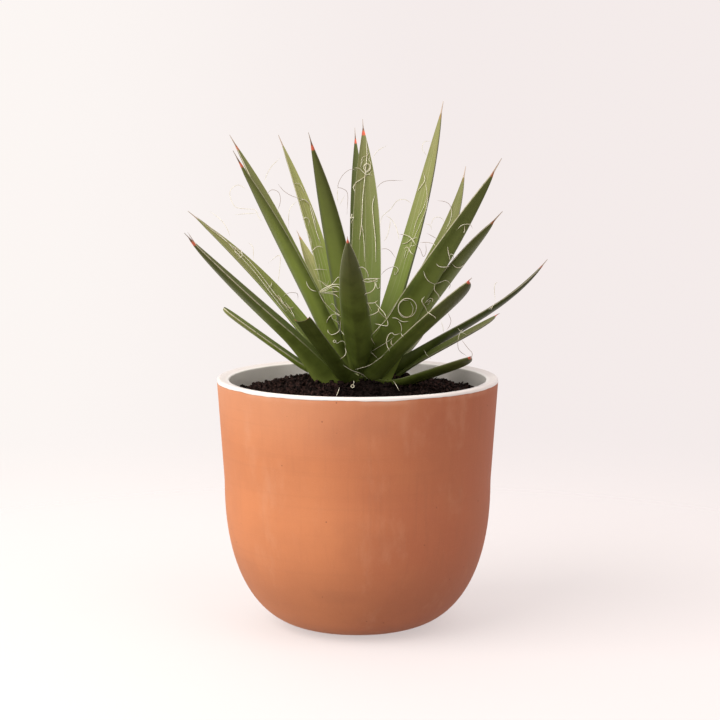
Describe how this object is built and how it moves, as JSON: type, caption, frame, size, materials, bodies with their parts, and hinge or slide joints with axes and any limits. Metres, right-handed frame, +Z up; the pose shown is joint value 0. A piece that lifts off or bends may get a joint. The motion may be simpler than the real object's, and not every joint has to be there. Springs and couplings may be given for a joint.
{
  "type": "potted agave",
  "caption": "Young thread-leaf agave rosette in a plain round clay pot filled with dark peat.",
  "frame": {"origin": "middle of the pot's flat foot, on the surface that the pot stands on", "axes": "+Z up the pot's axis, -Y towards the side that the picture shows, +X to that view's right"},
  "size_m": [0.2342, 0.2429, 0.3274],
  "materials": {
    "fired_clay": "bare matt orange clay outside, glazed white inside",
    "peat": "dark loose peat crumbs",
    "pale_crown": "pale green, fibrous",
    "agave_green": "satin living leaf, pale margins"
  },
  "bodies": {
    "root": {"pot": "fired_clay", "soil": "peat", "stem": "pale_crown", "leaf_01": "agave_green", "leaf_02": "agave_green", "leaf_03": "agave_green", "leaf_04": "agave_green", "leaf_05": "agave_green", "leaf_06": "agave_green", "leaf_07": "agave_green", "leaf_08": "agave_green", "leaf_09": "agave_green", "leaf_10": "agave_green", "leaf_11": "agave_green", "leaf_12": "agave_green", "leaf_13": "agave_green", "leaf_14": "agave_green", "leaf_15": "agave_green", "leaf_16": "agave_green", "leaf_17": "agave_green", "leaf_18": "agave_green", "leaf_19": "agave_green", "leaf_20": "agave_green", "leaf_21": "agave_green", "leaf_22": "agave_green", "leaf_23": "agave_green", "leaf_24": "agave_green", "leaf_25": "agave_green", "leaf_26": "agave_green", "leaf_27": "agave_green", "leaf_28": "agave_green"}
  },
  "joints": []
}
